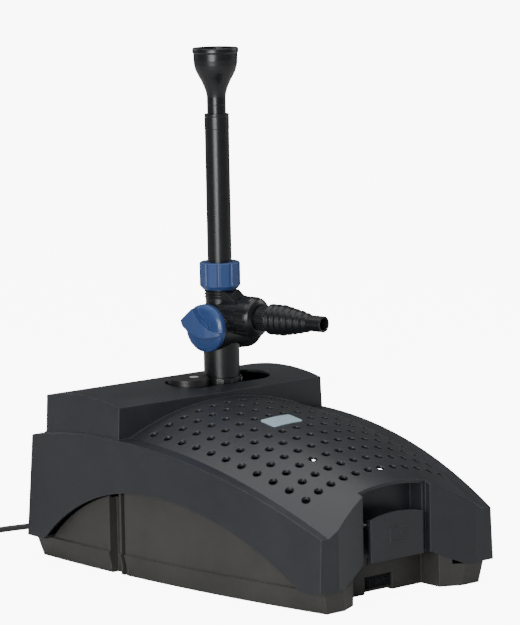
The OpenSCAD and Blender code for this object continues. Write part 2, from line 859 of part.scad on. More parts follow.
module outlet_pipe() {
    z0 = pump_z + 45;
    color(c_black) at_riser() difference() {
        union() {
            translate([0, 0, z0]) rod(outlet_r + 5, outlet_pipe_top - z0);
            translate([0, 0, outlet_pipe_top - 6]) rod(ring_r - 2.2, 6);
        }
        translate([0, 0, z0 - 1]) rod(outlet_r, 80);
        translate([0, 0, outlet_pipe_top - 1.2]) tube(outlet_r + 4.6, outlet_r + 1.4, 3);
    }
}

module outlet_seal() {
    color(c_rubber) at_riser() translate([0, 0, outlet_pipe_top - 1.2]) tube(outlet_r + 4.5, outlet_r + 1.5, foot_z - outlet_pipe_top + 1.2);
}

// castellated clamp ring round the foot of the tee
module outlet_ring() {
    z0 = outlet_pipe_top - 8;
    color(c_black) at_riser() difference() {
        union() {
            translate([0, 0, z0]) rod(ring_r, foot_z + flange_z + 3.4 - z0);
            for (k = [0 : 7]) rotate([0, 0, 45 * k])
                translate([ring_r - 1, -4, z0]) cube([2, 8, foot_z + flange_z + 2 - z0]);
        }
        translate([0, 0, z0 - 1]) rod(ring_r - 1.9, 6 + foot_z + flange_z - z0 - 4.7);
        translate([0, 0, z0 - 1]) rod(foot_r - 0.55, 60);
    }
}

// both legs of the elbow; the second one points at the clarifier's axis
module elbow_legs(r, extra) {
    at_pump() translate([0, 0, elbow_x]) rod(r, chamber_x0 - elbow_x + extra);
    translate([elbow_x, pump_y, pump_z]) {
        rotate([90, 0, 90]) sphere(r = r + 0.8, $fn = 96);
        rotate([0, 90, atan2(uvc_y - pump_y, uvc_x - elbow_x)]) rod(r, 30);
    }
}

module intake_elbow() {
    color(c_black) difference() {
        elbow_legs(eye_r + 3, 0);
        elbow_legs(eye_r, 1);
        at_uvc() rod(uvc_r + 0.05, 200);
    }
}

// ---------------------------------------------------------------- clarifier

module uvc_housing() {
    color(c_black) difference() {
        at_uvc() translate([0, 0, uvc_z0]) rod(uvc_r, uvc_head_z - uvc_z0);
        at_uvc() translate([0, 0, uvc_z0 + wall]) rod(uvc_r - wall, 200);
        // outlet to the pump and inlet slots
        elbow_legs(eye_r, 0);
        at_uvc() for (a = [100 : 32 : 260]) rotate([0, 0, a])
            translate([uvc_r - 8, -3, 24]) cube([16, 6, 60]);
    }
}

module uvc_head() {
    color(c_black) at_uvc() difference() {
        union() {
            translate([0, 0, uvc_head_z]) rod(uvc_r, uvc_top_z - uvc_head_z);
            translate([0, 0, uvc_head_z - 9]) rod(uvc_r - wall - 0.4, 10);
        }
        // wiring space below the window
        translate([0, 0, uvc_head_z - 10]) rod(sleeve_r + 0.3, 16);
        translate([0, 0, uvc_head_z]) rod(9, uvc_top_z - uvc_head_z - 2);
        translate([8, 0, uvc_top_z - 6]) rod(4.1, 10, 36);
        translate([8, 0, uvc_top_z - 1.5]) rod(5, 10, 36);
        // groove of the seal
        translate([0, 0, uvc_head_z - 5.5]) tube(uvc_r, uvc_r - wall - 2.4, 2.6);
    }
}

module head_seal() {
    color(c_rubber) at_uvc() translate([0, 0, uvc_head_z - 5.4])
        tube(uvc_r - wall, uvc_r - wall - 2.3, 2.4);
}

module sight_window() {
    color(c_white) at_uvc() translate([8, 0, uvc_top_z - 5]) {
        rod(4, 5, 36);
        translate([0, 0, 3.6]) rod(4.9, 1.4, 36);
    }
}

module quartz_sleeve() {
    color("#dfeaf0") at_uvc() difference() {
        translate([0, 0, 22]) rod(sleeve_r, uvc_head_z + 6 - 22);
        translate([0, 0, 24]) rod(sleeve_r - 1.5, 200);
    }
}

module uvc_lamp() {
    color("#f2f4f6") at_uvc() {
        for (s = [-1, 1]) translate([s * 4.6, 0, lamp_z0]) rod(4, socket_z0 - lamp_z0, 36);
        translate([-4.6, -2, 40]) cube([9.2, 4, 6]);
    }
}

module lamp_socket() {
    color(c_white) at_uvc() difference() {
        translate([0, 0, socket_z0]) rod(sleeve_r - 1.9, uvc_head_z + 6 - socket_z0);
        translate([0, 0, socket_z0 + 16]) rod(6, 20);
    }
}

module inner_lead() {
    color(c_rubber) swept_tube(smooth_path(lead_route, 2), cord_r, 10);
}

module lamp_lead() {
    color(c_rubber) swept_tube(smooth_path(lamp_route, 2), lead_r, 8);
}

// ---------------------------------------------------------------- outlet tee

// rounded thread crests on a spigot of radius r, from z0 to z1
module thread_rings(r_root, r_crest, z0, z1) {
    count = floor((z1 - z0) / thread_step);
    for (i = [0 : count - 1])
        translate([0, 0, z0 + i * thread_step]) {
            cylinder(r1 = r_root, r2 = r_crest, h = thread_step * 0.4, $fn = 72);
            translate([0, 0, thread_step * 0.4])
                cylinder(r1 = r_crest, r2 = r_root, h = thread_step * 0.4, $fn = 72);
        }
}

module tee_body() {
    color(c_black) difference() {
        union() {
            // foot pipe with its flange
            at_tee() translate([0, 0, foot_z]) rod(foot_r - 0.85, barrel_z - foot_z);
            at_tee() translate([0, 0, foot_z + flange_z + 3.6]) rod(foot_r, barrel_z - foot_z - flange_z - 3.6);
            at_tee() translate([0, 0, foot_z]) rod(ring_r - 2.2, flange_z);
            // barrel of the valve
            at_barrel() translate([0, 0, barrel_x0])
                cylinder(r1 = barrel_r, r2 = barrel_end_r, h = barrel_x1 - barrel_x0, $fn = 96);
            at_barrel() translate([0, 0, barrel_x1])
                cylinder(r1 = barrel_end_r, r2 = barrel_end_r - 2, h = 2, $fn = 96);
            at_barrel() translate([0, 0, barrel_x1 + 2])
                cylinder(r1 = barrel_end_r - 2, r2 = barrel_end_r - 8, h = 2.4, $fn = 96);
            // upper spigot
            at_tee() translate([0, 0, barrel_z]) rod(thread_root_r, spigot_top - barrel_z);
            at_tee() thread_rings(thread_root_r - 0.1, thread_r, barrel_z + 29, spigot_top - 1);
            // side branch
            at_branch() rod(thread_root_r, branch_l);
            at_branch() rod(neck_r - 1.2, side_nut_y0 - 0.6);
            for (k = [0 : 11]) at_branch() rotate([0, 0, 30 * k])
                translate([0, -2, 0]) cube([neck_r, 4, side_nut_y0 - 1.4]);
            at_branch() thread_rings(thread_root_r - 0.1, thread_r, 27, branch_l - 1);
            // gusset between the two outlets
            at_tee() rotate([90, 0, -90]) linear_extrude(22, center = true)
                polygon([[0, outlet_z], [29, outlet_z + 10], [29, outlet_z + 15],
                         [thread_root_r, nut_z0 - 1], [0, nut_z0 - 1]]);
        }
        at_tee() translate([0, 0, foot_z - 1]) rod(foot_r - 4, barrel_z - foot_z - plug_r - 3);
        at_tee() translate([0, 0, foot_z - 1]) rod(outlet_r + 4, 4);
        at_tee() translate([0, 0, foot_z]) rod(port_r, barrel_z - foot_z);
        at_barrel() translate([0, 0, barrel_x0 - 1]) rod(plug_r + run_gap, plug_l + 3);
        at_tee() translate([0, 0, barrel_z]) rod(port_r, 60);
        at_tee() translate([0, 0, socket_z]) rod(riser_r + 0.2, 60);
        at_branch() rod(port_r, branch_l + 1);
    }
}

module valve_plug() {
    color(c_black) difference() {
        union() {
            at_barrel() translate([0, 0, barrel_x0 + 0.5]) rod(plug_r, plug_l + 1);
            at_barrel() translate([0, 0, barrel_x0 - 9]) rod(7, 10, 48);
        }
        at_tee() translate([0, 0, barrel_z - 30]) rod(port_r, 60);
        at_branch() rod(port_r, 60);
        for (x = [barrel_x0 + 3, barrel_x0 + plug_l - 4.2])
            at_barrel() translate([0, 0, x]) tube(plug_r + 2, plug_r - 2.1, 2.6);
        at_barrel() translate([0, 0, barrel_x0 - 10]) rod(1.5, 30, 24);
        at_barrel() translate([0, 0, -14]) rod(3.7, 14, 36);
    }
}

module plug_seals() {
    color(c_rubber) for (x = [barrel_x0 + 3.1, barrel_x0 + plug_l - 4.1])
        at_barrel() translate([0, 0, x]) tube(plug_r, plug_r - 2, 2.4);
}

// edges of the knob's curved grip, as [along the riser, along the branch]
grip_inner = smooth_path([[21, -7, 0], [13.5, -2.5, 0], [7.5, 1.8, 0], [2.5, 8, 0], [-1.2, 15, 0], [-3, 23.6, 0]], 4);
grip_outer = smooth_path([[-6, 23.3, 0], [-8.5, 12, 0], [-8.5, 2.5, 0], [-6, -5.5, 0], [-2.6, -13, 0], [2.5, -20, 0], [8, -22.6, 0]], 4);

module valve_knob() {
    r = barrel_r + 0.6;
    color(c_blue) at_barrel() rotate([0, 0, 180]) mirror([0, 0, 1]) translate([0, 0, -barrel_x0 + 0.8]) difference() {
        union() {
            rotate_extrude($fn = 96) polygon([
                [0, 0], [r - 1, 0], [r, 1], [r, 5.4], [r - 0.8, 6.6], [r - 3.4, 8.4],
                [r - 5, 8.8], [r - 9, 8.2], [0, 7.4]
            ]);
            rod(9.5, 11.4, 72);
            // curved grip, high on one side and low at its tip
            intersection() {
                linear_extrude(22)
                    polygon([for (q = concat(grip_inner, grip_outer)) [q[0], q[1]]]);
                rod(r - 0.1, 40);
                rotate([90, 0, 90]) linear_extrude(80, center = true)
                    polygon([[-30, 1], [-30, 15.4], [-20, 17.4], [-6, 17.6], [8, 15.4], [19, 11.6], [30, 7], [30, 1]]);
            }
        }
        translate([0, 0, -1]) rod(7 + 0.2, 9.4, 48);
        translate([0, 0, 5]) rod(1.5, 9, 24);
    }
}

// driven from inside the plug, so that the knob's face stays closed
module knob_screw() {
    color(c_steel) at_barrel() {
        translate([0, 0, barrel_x0 - 12.8]) rod(1.4, -13 - barrel_x0 + 12.8, 24);
        translate([0, 0, -13.95]) rod(3.4, 2, 36);
    }
}

// ---------------------------------------------------------------- fountain riser

module riser_nut() {
    color(c_blue) at_tee() difference() {
        intersection() {
            translate([0, 0, nut_z0]) cylinder(r = nut_r + 0.6, h = nut_z1 - nut_z0, $fn = 10);
            translate([0, 0, nut_z0]) union() {
                cylinder(r1 = nut_r - 3.4, r2 = nut_r + 1, h = 5, $fn = 72);
                translate([0, 0, 5]) rod(nut_r + 1, nut_z1 - nut_z0 - 7);
                translate([0, 0, nut_z1 - nut_z0 - 2]) cylinder(r1 = nut_r + 1, r2 = nut_r - 1.2, h = 2, $fn = 72);
            }
        }
        for (k = [0 : 9]) rotate([0, 0, 36 * k])
            translate([nut_r + 1.4, 0, nut_z0 + 4.5]) rod(2.5, 30, 24);
        translate([0, 0, nut_z0 - 1]) rod(thread_r + seat_gap, spigot_top + 4.3 - nut_z0);
        translate([0, 0, nut_z0]) rod(riser_r + 0.35, 40);
    }
}

module riser_seal() {
    color(c_rubber) at_tee() translate([0, 0, spigot_top]) tube(thread_root_r - 0.6, riser_r + 0.1, 1);
}

module riser_tube() {
    color(c_black) at_tee() {
        translate([0, 0, socket_z]) tube(riser_r, riser_r - tube_wall, collar_z - socket_z);
        // flange under the union nut
        translate([0, 0, spigot_top + 1]) tube(thread_root_r - 0.3, riser_r - tube_wall, 2);
    }
}

module tube_collar() {
    color(c_black) at_tee() difference() {
        union() {
            translate([0, 0, collar_z]) rod(riser_r + 0.2, 12.4);
            translate([0, 0, collar_z + 12.4]) rod(riser_r - 0.2, 0.9);
            translate([0, 0, collar_z + 13.3]) rod(riser_r + 0.2, 2);
            // plug inside the riser tube
            translate([0, 0, collar_z - 8]) rod(riser_r - tube_wall - run_gap, 9);
        }
        translate([0, 0, collar_z - 9]) rod(inner_r + run_gap, 30);
        translate([0, 0, collar_z + 5]) rod(inner_r + 1.4, 2.8);
    }
}

module collar_seal() {
    color(c_rubber) at_tee() translate([0, 0, collar_z + 5.1]) tube(inner_r + 1.3, inner_r + run_gap, 2.6);
}

module inner_tube() {
    color(c_black) at_tee() translate([0, 0, inner_tube_z0])
        tube(inner_r, inner_r - 1.6, tube_top_z - inner_tube_z0);
}

// radius of the bell between the tube (0) and the rim (1)
function bell_r(f) = inner_r + f * (nozzle_d / 2 - inner_r);

module bell_nozzle() {
    r = nozzle_d / 2;
    z0 = tube_top_z;
    h = nozzle_top_z - z0;
    color(c_black) at_tee() translate([0, 0, z0]) rotate_extrude($fn = 96)
        polygon([
            [inner_r, 0], [inner_r, h - 50], [bell_r(0.03), h - 47], [bell_r(0.09), h - 43.5],
            [bell_r(0.19), h - 39.5], [bell_r(0.31), h - 35.5], [bell_r(0.44), h - 32], [bell_r(0.58), h - 28.5],
            [bell_r(0.71), h - 25], [bell_r(0.81), h - 21.5], [bell_r(0.88), h - 17.5], [bell_r(0.92), h - 12.5],
            [bell_r(0.935), h - 5.6], [r - 0.2, h - 4.8], [r, h - 4.2], [r, h - 1.4], [r - 0.4, h - 0.4], [r - 0.9, h],
            [r - 2.4, h], [r - 2.8, h - 1], [bell_r(0.92) - 2, h - 12.5], [bell_r(0.88) - 2, h - 17.5],
            [bell_r(0.81) - 2.1, h - 21.5], [bell_r(0.71) - 2.2, h - 25], [bell_r(0.44) - 2.1, h - 32],
            [bell_r(0.19) - 2, h - 39.5], [inner_r - 1.7, h - 46], [inner_r - 1.8, 0]
        ]);
}

// stem and deflector disc that shape the water bell
module nozzle_core() {
    color(c_black) at_tee() difference() {
        union() {
            translate([0, 0, tube_top_z + 8]) rod(2, nozzle_top_z - tube_top_z - 12, 36);
            translate([0, 0, nozzle_top_z - 8]) cylinder(r1 = 2, r2 = nozzle_d / 2 - 8.5, h = 4, $fn = 72);
            translate([0, 0, nozzle_top_z - 4]) rod(nozzle_d / 2 - 8.5, 1.6, 72);
            for (k = [0 : 2]) rotate([0, 0, 120 * k])
                translate([0, -0.9, tube_top_z + 4]) cube([inner_r - 1.92, 1.8, 7]);
        }
    }
}

// ---------------------------------------------------------------- side outlet

module side_nut() {
    l = side_nut_y1 - side_nut_y0;
    color(c_black) at_branch() translate([0, 0, side_nut_y0]) difference() {
        union() {
            cylinder(r1 = nut_r - 1.4, r2 = nut_r, h = 2, $fn = 96);
            translate([0, 0, 2]) rod(nut_r, l - 9);
            translate([0, 0, l - 7]) cylinder(r1 = nut_r, r2 = nut_r - 0.8, h = 2.4, $fn = 96);
            translate([0, 0, l - 4.6]) cylinder(r1 = nut_r - 0.8, r2 = nut_r - 2.6, h = 2.4, $fn = 96);
            translate([0, 0, l - 2.2]) cylinder(r1 = nut_r - 2.6, r2 = nut_r - 6, h = 2.2, $fn = 96);
        }
        // lengthwise grips
        for (k = [0 : 11]) rotate([0, 0, 30 * k + 8])
            translate([nut_r - 1.1, -1.9, -1]) cube([5, 3.8, l - 3]);
        translate([0, 0, -1]) rod(thread_r + seat_gap, branch_l - side_nut_y0 + 5.4);
        rod(adapter_r + 0.4, 40);
    }
}

module side_gasket() {
    color(c_rubber) at_branch() translate([0, 0, branch_l]) tube(14.6, 9, 1.4);
}

module hose_adapter() {
    large_r = hose_large_d / 2;
    middle_r = hose_middle_d / 2;
    small_r = hose_small_d / 2;
    // crest radius of each rib, from the nut outwards
    crests = [
        large_r, large_r, large_r,
        large_r - (large_r - middle_r) / 3, large_r - 2 * (large_r - middle_r) / 3,
        middle_r, (middle_r + small_r) / 2
    ];
    color(c_black) at_branch() difference() {
        union() {
            // flange held by the nut
            translate([0, 0, branch_l + 1.4]) rod(thread_root_r - 0.3, 2.4);
            translate([0, 0, branch_l + 3]) rod(adapter_r, rib_y0 - branch_l - 2);
            for (k = [0 : 29]) rotate([0, 0, 12 * k])
                translate([adapter_r - 0.5, -0.7, side_nut_y1 + 0.9]) cube([1, 1.4, 11]);
            for (i = [0 : len(crests) - 1])
                translate([0, 0, rib_y0 + i * rib_step]) {
                    cylinder(r1 = crests[i] - 2.1, r2 = crests[i], h = 1.5, $fn = 72);
                    translate([0, 0, 1.5]) rod(crests[i], 1.1, 72);
                    translate([0, 0, 2.6]) cylinder(r1 = crests[i], r2 = crests[i] - 2.1, h = 2.4, $fn = 72);
                    rod(crests[i] - 2.1, rib_step + 0.4, 72);
                }
            translate([0, 0, rib_y0 + len(crests) * rib_step]) rod(small_r, adapter_end - rib_y0 - len(crests) * rib_step);
        }
        translate([0, 0, branch_l]) rod(small_r - 1.8, adapter_end);
    }
}

// ---------------------------------------------------------------- cord

module cord_gland() {
    y0 = tray_rear_y - 12;
    color(c_rubber) translate([gland_x, 0, gland_z]) rotate([-90, 0, 0]) difference() {
        union() {
            translate([0, 0, y0]) rod(gland_r, 14, 48);
            translate([0, 0, y0 - 2]) rod(gland_r + 2.5, 3, 48);
            translate([0, 0, tray_rear_y + 0.6]) rod(gland_r + 2, 3, 48);
            translate([0, 0, tray_rear_y + 0.6])
                cylinder(r1 = gland_r + 1.1, r2 = cord_r + 1, h = gland_l, $fn = 48);
        }
        translate([0, 0, y0 - 5]) rod(cord_r + 0.15, gland_l + 30, 48);
    }
}

module mains_cord() {
    color(c_rubber) swept_tube(smooth_path(cord_route, 2), cord_r, 10);
}

module cord_coil() {
    color(c_rubber) difference() {
        translate([coil_x, coil_y, tie_t]) rotate_extrude($fn = 96)
            translate([coil_r - coil_half_w, 0]) square([2 * coil_half_w, coil_h]);
        for (a = tie_angles) at_coil(a) tie_form(seat_gap / 3);
    }
}

tie_angles = [90, 210, 330];
module at_coil(a) {
    translate([coil_x, coil_y, 0]) rotate([0, 0, a]) translate([coil_r, 0, 0]) children();
}

// a flat band round the bundle of turns
module tie_form(gap) {
    w = 2 * coil_half_w;
    translate([-w / 2, -6 - gap, 0]) difference() {
        translate([-tie_t, 0, -gap]) cube([w + 2 * tie_t, 12 + 2 * gap, coil_h + 2 * tie_t + 2 * gap]);
        translate([gap, -1, tie_t + gap]) cube([w - 2 * gap, 20, coil_h - 2 * gap]);
    }
}

module coil_ties() {
    color("#3a3b3d") for (a = tie_angles) at_coil(a) tie_form(0);
}

module at_plug() {
    translate([coil_x, coil_y, plug_z]) rotate([0, 0, 150]) translate([coil_r, -14, 0]) children();
}

module plug_body() {
    color(c_rubber) at_plug() intersection() {
        union() {
            translate([0, 0, 15]) rotate([90, 0, 0]) rod(18.5, 14, 72);
            translate([0, 0, 15]) rotate([-90, 0, 0]) cylinder(r1 = 15.5, r2 = 9, h = 18, $fn = 72);
            translate([0, 0, 15]) rotate([-90, 0, 0]) cylinder(r1 = 9, r2 = 5, h = 26, $fn = 48);
        }
        translate([-20, -40, 0.05]) cube([40, 80, 30]);
    }
}

module plug_pins() {
    color(c_steel) at_plug() for (s = [-1, 1])
        translate([s * 9.5, -14, 15]) rotate([90, 0, 0]) rod(2.4, 19, 36);
}

filter_cover();
name_plate();
latch_clip();
latch_pin();
filter_tray();
coarse_foam();
fine_foam();
screen_plate();
motor_housing();
stator_core();
stator_windings();
rear_bearing();
rotor_shaft();
rotor_magnet();
rotor_bushes();
impeller();
front_bearing();
pump_chamber();
chamber_seal();
chamber_screws();
outlet_pipe();
outlet_seal();
outlet_ring();
intake_elbow();
uvc_housing();
uvc_head();
head_seal();
sight_window();
quartz_sleeve();
uvc_lamp();
lamp_socket();
inner_lead();
lamp_lead();
tee_body();
valve_plug();
plug_seals();
valve_knob();
knob_screw();
riser_nut();
riser_seal();
riser_tube();
tube_collar();
collar_seal();
inner_tube();
bell_nozzle();
nozzle_core();
side_nut();
side_gasket();
hose_adapter();
cord_gland();
mains_cord();
cord_coil();
coil_ties();
plug_body();
plug_pins();
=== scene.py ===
import math

import bpy
from mathutils import Matrix, Vector


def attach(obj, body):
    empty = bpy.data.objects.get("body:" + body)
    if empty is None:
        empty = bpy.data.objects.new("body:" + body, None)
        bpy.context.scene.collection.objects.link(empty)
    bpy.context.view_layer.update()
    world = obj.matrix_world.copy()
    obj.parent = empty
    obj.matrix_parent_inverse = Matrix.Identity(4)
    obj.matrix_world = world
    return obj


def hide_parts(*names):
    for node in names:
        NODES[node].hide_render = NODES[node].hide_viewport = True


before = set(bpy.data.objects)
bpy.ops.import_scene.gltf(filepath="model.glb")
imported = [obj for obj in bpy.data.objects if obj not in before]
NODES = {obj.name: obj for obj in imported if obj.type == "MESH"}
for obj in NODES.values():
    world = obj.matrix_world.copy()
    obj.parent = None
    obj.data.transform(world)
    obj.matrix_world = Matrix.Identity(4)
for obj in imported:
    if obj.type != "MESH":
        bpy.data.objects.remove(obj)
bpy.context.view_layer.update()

scene = bpy.context.scene

# ---------------------------------------------------------------- camera

LENS, SENSOR = 195.1, 36
SHIFT_X = -0.0026
AZ, EL, ROLL = math.radians(-40.2), math.radians(8.2), math.radians(-1.1)
TARGET = Vector((0, 0, 0.2565))
DIST = 3.3612

cam_data = bpy.data.cameras.new("camera")
cam = bpy.data.objects.new("camera", cam_data)
scene.collection.objects.link(cam)
out = Vector((math.sin(AZ) * math.cos(EL), -math.cos(AZ) * math.cos(EL), math.sin(EL)))
cam.location = TARGET + DIST * out
turn = (-out).to_track_quat("-Z", "Y").to_matrix().to_4x4() @ Matrix.Rotation(ROLL, 4, "Z")
cam.matrix_world = Matrix.Translation(cam.location) @ turn
cam_data.sensor_width = SENSOR
cam_data.lens = LENS
cam_data.shift_x = SHIFT_X
cam_data.clip_end = 50
scene.camera = cam

# ---------------------------------------------------------------- helpers


def smooth_path(points, n):
    """Catmull-Rom through points, n steps a span."""
    out_points = []
    for i in range(len(points) - 1):
        a = points[max(i - 1, 0)]
        b = points[i]
        c = points[i + 1]
        d = points[min(i + 2, len(points) - 1)]
        for k in range(n):
            t = k / n
            out_points.append(tuple(
                0.5 * (2 * b[j] + (c[j] - a[j]) * t
                       + (2 * a[j] - 5 * b[j] + 4 * c[j] - d[j]) * t * t
                       + (3 * b[j] - a[j] - 3 * c[j] + d[j]) * t ** 3)
                for j in range(3)))
    out_points.append(tuple(points[-1]))
    return out_points


# ---------------------------------------------------------------- cord

CORD_D = 0.0065
COIL = (-0.160, 0.384)          # middle of the coil
COIL_R = 0.0515                 # to the middle of the turns
COIL_Z = 0.0012                 # underside of the lowest turns
ACROSS, LAYERS = 5, 6           # turns side by side, and on top of each other
COIL_START = math.radians(270)
STEPS = 24                      # points a turn
CROSS_OVER = 0.16               # part of a turn spent on a step
TAIL_STEPS = 6
TAIL_RISE = 11
PLUG_LIFT = 0.015               # plug's axis over the top turns
PLUG_BACK = 0.014               # plug's middle behind its place on the coil

route = [
    (100, 239, 11.5), (100, 243, 11.5), (100, 250, 11), (99, 258, 9.8), (96, 266, 8), (91, 274, 6),
    (84, 281, 4.6), (75, 287, 3.7), (65, 292, 3.4), (53, 297, 3.3), (40, 301, 3.3),
    (24, 305, 3.3), (8, 308, 3.3), (-10, 310, 3.3), (-28, 312, 3.3), (-46, 313, 3.3),
    (-64, 316, 3.3), (-82, 320, 3.3), (-100, 322.5, 3.3), (-118, 321.5, 3.5), (-134, 317.2, 3.9),
    (-148, 313.9, 4.3),
]
route = [(x / 1000, y / 1000, z / 1000) for x, y, z in route]


def on_coil(turns, r, z):
    a = COIL_START - turns * 2 * math.pi
    return (COIL[0] + r * math.cos(a), COIL[1] + r * math.sin(a), z)


def coil_points():
    """Concentric turns, each layer on the last, with one step across or up a turn."""
    pts = []
    slots = [(layer, k) for layer in range(LAYERS) for k in range(ACROSS)]

    def place(i):
        layer, k = slots[min(i, len(slots) - 1)]
        k = k if layer % 2 == 0 else ACROSS - 1 - k
        return (COIL_R + ((ACROSS - 1) / 2 - k) * CORD_D, COIL_Z + CORD_D * (layer + 0.5))

    for i in range(len(slots)):
        r1, z1 = place(i)
        if i == 0:
            r0, z0 = COIL_R + ACROSS / 2 * CORD_D + 0.0036, COIL_Z + 0.6 * CORD_D
        else:
            r0, z0 = place(i - 1)
        for s in range(STEPS):
            f = s / STEPS
            t = min(f / CROSS_OVER, 1)
            t = t * t * (3 - 2 * t)
            pts.append(on_coil(i + f, r0 + (r1 - r0) * t, z0 + (z1 - z0) * t))
    return pts


coil = coil_points()
top_z = COIL_Z + CORD_D * (LAYERS - 0.5)
outer_r = COIL_R + (ACROSS - 1) / 2 * CORD_D
plug_a = math.radians(150)
plug_axis_z = COIL_Z + LAYERS * CORD_D + PLUG_LIFT
radial = Vector((math.cos(plug_a), math.sin(plug_a), 0))
tangent = Vector((-math.sin(plug_a), math.cos(plug_a), 0))
plug_mid = Vector((COIL[0], COIL[1], 0)) + COIL_R * radial - PLUG_BACK * tangent
tail = []
for s in range(TAIL_STEPS):
    lift = (s / TAIL_RISE) ** 2
    z = top_z + (plug_axis_z - top_z) * min(lift, 1)
    tail.append(on_coil(s / STEPS, outer_r, z))
line_start = plug_mid + 0.0495 * tangent
line_mid = plug_mid + 0.036 * tangent
line_end = plug_mid + 0.0235 * tangent
tail += [
    (line_start.x, line_start.y, top_z + 0.88 * (plug_axis_z - top_z)),
    (line_mid.x, line_mid.y, plug_axis_z - 0.0004),
    (line_end.x, line_end.y, plug_axis_z),
]
cord_line = smooth_path(route, 2)[:-1] + [route[-1]] + coil + smooth_path(tail, 3)
curve = bpy.data.curves.new("mains_cord_run", "CURVE")
curve.dimensions = "3D"
curve.bevel_depth = 1        # times each point's radius
curve.bevel_resolution = 3
curve.use_fill_caps = True
spline = curve.splines.new("POLY")
spline.points.add(len(cord_line) - 1)
for p, c in zip(spline.points, cord_line):
    p.co = (*c, 1)
    p.radius = CORD_D / 2
spline.use_smooth = True
cord = bpy.data.objects.new("mains_cord_run", curve)
scene.collection.objects.link(cord)
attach(cord, "pump")
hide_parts("mains_cord", "cord_coil")

# ---------------------------------------------------------------- materials


class Tree:
    """A little shorthand for building node trees."""

    def __init__(self, name):
        self.mat = bpy.data.materials.new(name)
        self.mat.use_nodes = True
        self.nt = self.mat.node_tree
        self.nt.nodes.clear()
        self.out = self.node("ShaderNodeOutputMaterial")
        self.bsdf = self.node("ShaderNodeBsdfPrincipled")
        self.nt.links.new(self.bsdf.outputs[0], self.out.inputs[0])
        self.coord = self.node("ShaderNodeTexCoord").outputs["Object"]

    def node(self, kind, **values):
        n = self.nt.nodes.new(kind)
        for k, v in values.items():
            setattr(n, k, v)
        return n

    def link(self, a, b):
        self.nt.links.new(a, b)

    def noise(self, scale, detail=4, rough=0.55, stretch=None, offset=0.0):
        source = self.coord
        if stretch or offset:
            m = self.node("ShaderNodeMapping")
            m.inputs["Scale"].default_value = stretch or (1, 1, 1)
            m.inputs["Location"].default_value = (offset, offset * 0.7, offset * 1.3)
            self.link(source, m.inputs["Vector"])
            source = m.outputs[0]
        n = self.node("ShaderNodeTexNoise")
        n.inputs["Scale"].default_value = scale
        n.inputs["Detail"].default_value = detail
        n.inputs["Roughness"].default_value = rough
        self.link(source, n.inputs["Vector"])
        return n.outputs["Fac"]

    def ramp(self, fac, stops):
        r = self.node("ShaderNodeValToRGB")
        els = r.color_ramp.elements
        while len(els) < len(stops):
            els.new(0.5)
        for e, (pos, col) in zip(els, stops):
            e.position = pos
            e.color = (*col, 1) if len(col) == 3 else col
        self.link(fac, r.inputs[0])
        return r.outputs[0]

    def span(self, fac, lo, hi, a=0.0, b=1.0):
        m = self.node("ShaderNodeMapRange")
        for i, v in enumerate((lo, hi, a, b)):
            m.inputs[i + 1].default_value = v
        self.link(fac, m.inputs[0])
        return m.outputs[0]

    def math(self, op, a, b=None):
        m = self.node("ShaderNodeMath", operation=op)
        for i, v in enumerate((a, b)):
            if v is None:
                continue
            if isinstance(v, (int, float)):
                m.inputs[i].default_value = v
            else:
                self.link(v, m.inputs[i])
        return m.outputs[0]

    def mix(self, fac, a, b):
        m = self.node("ShaderNodeMix", data_type="RGBA", blend_type="MIX")
        if isinstance(fac, (int, float)):
            m.inputs[0].default_value = fac
        else:
            self.link(fac, m.inputs[0])
        for i, v in ((6, a), (7, b)):
            if isinstance(v, tuple):
                m.inputs[i].default_value = (*v, 1) if len(v) == 3 else v
            else:
                self.link(v, m.inputs[i])
        return m.outputs[2]

    def bump(self, height, strength, distance, normal=None):
        b = self.node("ShaderNodeBump")
        b.inputs["Strength"].default_value = strength
        b.inputs["Distance"].default_value = distance
        self.link(height, b.inputs["Height"])
        if normal is not None:
            self.link(normal, b.inputs["Normal"])
        return b.outputs[0]


def moulded(name, colour, rough=0.42, radius=0.0008, spread=0.12, wear_and_highlight=0.25, grain=0.12,
            dust=0.05):
    """Injection-moulded plastic: fine erosion grain, uneven gloss, lighter edges that are partly
    rubbed wear and partly a painted highlight.
    """
    t = Tree(name)
    big = t.noise(22, 5, 0.6)
    fine = t.noise(260, 3, 0.6, offset=3.1)
    lo = tuple(c * (1 - spread) for c in colour)
    hi = tuple(min(1, c * (1 + spread)) for c in colour)
    base = t.mix(t.span(big, 0.35, 0.65), lo, hi)
    speck = t.span(fine, 0.62, 0.78, 0, dust)
    base = t.mix(speck, base, tuple(min(1, c * 2.2 + 0.05) for c in colour))
    if radius:
        bevel = t.node("ShaderNodeBevel", samples=6)
        bevel.inputs["Radius"].default_value = radius
        geo = t.node("ShaderNodeNewGeometry")
        dot = t.node("ShaderNodeVectorMath", operation="DOT_PRODUCT")
        t.link(bevel.outputs[0], dot.inputs[0])
        t.link(geo.outputs["Normal"], dot.inputs[1])
        # lighter colour along the edges: partly rubbed wear, partly a painted highlight on the
        # rounded edges
        edge = t.span(dot.outputs["Value"], 0.97, 0.75, 0, wear_and_highlight)
        rub_and_highlight = t.math("MULTIPLY", edge, t.span(t.noise(70, 3, offset=7.7), 0.35, 0.6, 0.35, 1))
        base = t.mix(rub_and_highlight, base, tuple(min(1, c * 1.9 + 0.035) for c in colour))
        normal = bevel.outputs[0]
    else:
        normal = None
    t.link(base, t.bsdf.inputs["Base Color"])
    t.link(t.span(big, 0.3, 0.7, rough - 0.03, rough + 0.05), t.bsdf.inputs["Roughness"])
    height = t.noise(900, 2, 0.5, offset=1.3)
    t.link(t.bump(height, grain, 0.0002, normal), t.bsdf.inputs["Normal"])
    t.bsdf.inputs["Specular IOR Level"].default_value = 0.5
    return t.mat


